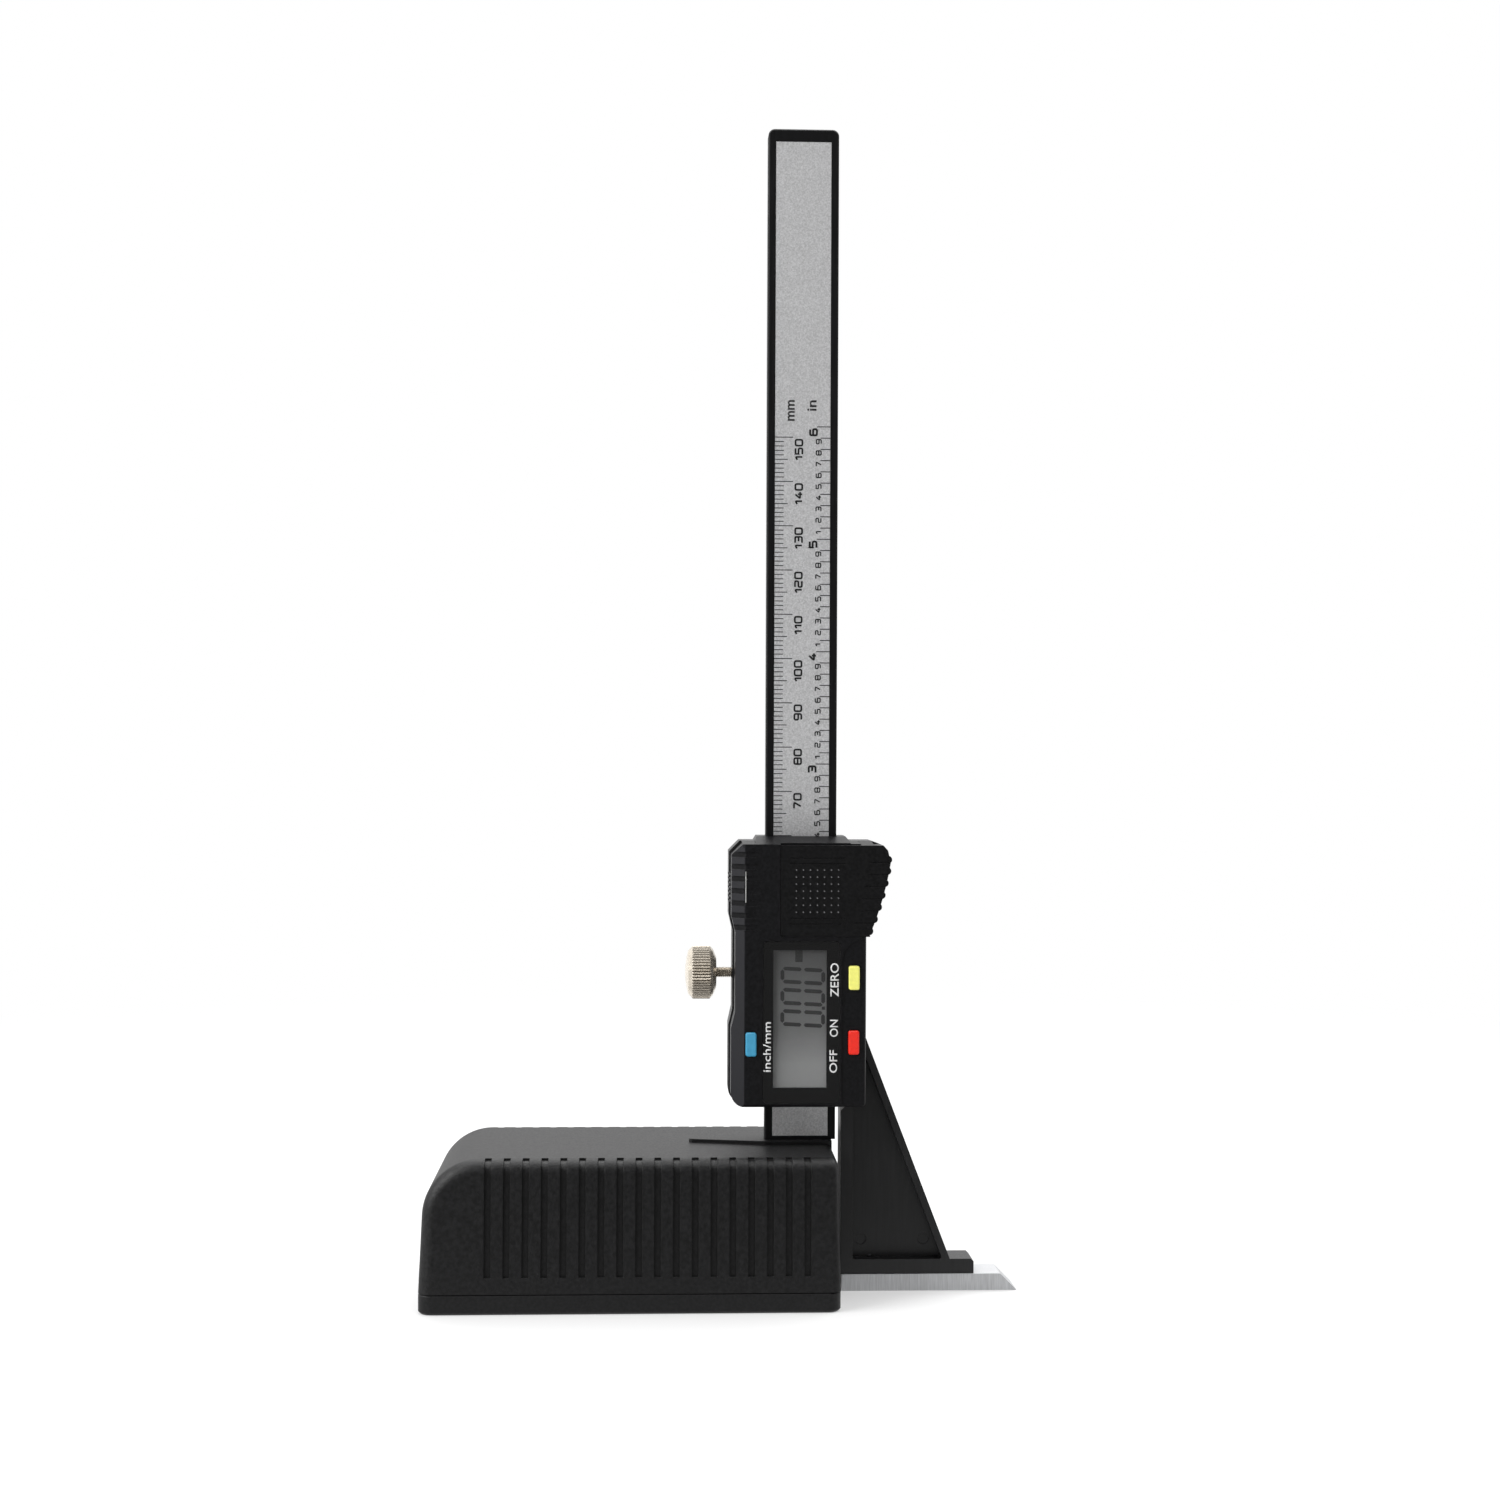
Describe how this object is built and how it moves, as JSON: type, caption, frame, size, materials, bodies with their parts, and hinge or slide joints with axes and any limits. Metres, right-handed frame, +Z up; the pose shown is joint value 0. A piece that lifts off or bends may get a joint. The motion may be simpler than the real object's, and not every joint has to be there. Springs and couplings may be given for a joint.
{
  "type": "height gauge",
  "caption": "Digital height gauge: caliper head sliding on an upright scale beam set in a ribbed base, with a chisel-ended scriber blade and a lock screw",
  "frame": {"origin": "On the surface the base stands on, directly below the middle of the beam's section", "axes": "+Z up along the beam, +X towards the blade, +Y to the back, away from the display"},
  "size_m": [0.1327, 0.047, 0.262],
  "materials": {
    "base_plastic": "moulded ABS, fine leather-like spark texture",
    "frame_plastic": "moulded glass-filled nylon, satin",
    "housing_plastic": "moulded ABS, fine matt",
    "cover_plastic": "moulded ABS, fine matt",
    "beam_composite": "filled composite, satin",
    "magnet": "nickel-plated magnet",
    "steel_screws": "zinc-plated",
    "steel_pins": "ground steel",
    "circuit_laminate": "green glass-epoxy laminate",
    "scale_label": "satin silver film with black printed scale",
    "lens": "clear polycarbonate, black printed border",
    "lcd": "grey reflective display",
    "zebra_rubber": "layered elastomer",
    "switch_plastic": "moulded",
    "cell_steel": "nickel-plated steel",
    "contact_steel": "sprung steel",
    "brass_gib": "rolled strip",
    "brass_nut": "turned",
    "brass_pad": "turned",
    "knob_nickel": "nickel-plated, straight knurl",
    "blade_steel": "ground stainless steel",
    "button_yellow": "moulded, satin",
    "button_red": "moulded, satin",
    "button_blue": "moulded, satin"
  },
  "bodies": {
    "base": {"base_cover": "base_plastic", "base_plate": "base_plastic", "base_magnets": "magnet", "base_screws": "steel_screws", "beam": "beam_composite", "beam_pins": "steel_pins", "stator_strip": "circuit_laminate", "scale_label": "scale_label"},
    "slider": {"slider_frame": "frame_plastic", "front_housing": "housing_plastic", "lcd_lens": "lens", "lcd_panel": "lcd", "zebra_strips": "zebra_rubber", "circuit_board": "circuit_laminate", "tact_switches": "switch_plastic", "coin_cell": "cell_steel", "battery_contacts": "contact_steel", "housing_screws": "steel_screws", "gib_strip": "brass_gib", "lock_nut": "brass_nut", "scriber_blade": "blade_steel", "blade_screws": "steel_screws"},
    "battery_cover": {"battery_cover": "cover_plastic"},
    "button_zero": {"button_zero": "button_yellow"},
    "button_power": {"button_power": "button_red"},
    "button_units": {"button_units": "button_blue"},
    "lock_pad": {"lock_pad": "brass_pad"},
    "lock_screw": {"lock_screw": "knob_nickel"}
  },
  "joints": [
    {"name": "slider_travel", "type": "slide", "parent": "base", "child": "slider", "axis": [0, 0, 1], "range_m": [0, 0.15]},
    {"name": "cover_slide", "type": "slide", "parent": "slider", "child": "battery_cover", "axis": [1, 0, 0], "range_m": [0, 0.017]},
    {"name": "zero_press", "type": "slide", "parent": "slider", "child": "button_zero", "axis": [0, 1, 0], "range_m": [0, 0.0004], "stiffness_N_per_m": 600},
    {"name": "power_press", "type": "slide", "parent": "slider", "child": "button_power", "axis": [0, 1, 0], "range_m": [0, 0.0004], "stiffness_N_per_m": 600},
    {"name": "units_press", "type": "slide", "parent": "slider", "child": "button_units", "axis": [0, 1, 0], "range_m": [0, 0.0004], "stiffness_N_per_m": 600},
    {"name": "lock_feed", "type": "slide", "parent": "slider", "child": "lock_pad", "axis": [1, 0, 0], "range_m": [-0.0018, 0.00036]},
    {"name": "lock_turn", "type": "hinge", "parent": "lock_pad", "child": "lock_screw", "pos_m": [-0.02, 0, 0.0714], "axis": [1, 0, 0], "range_deg": [-1440, 288]}
  ],
  "couplings": [
    {"joint": "lock_turn", "follows": "lock_feed", "rad_per_m": 13963}
  ]
}
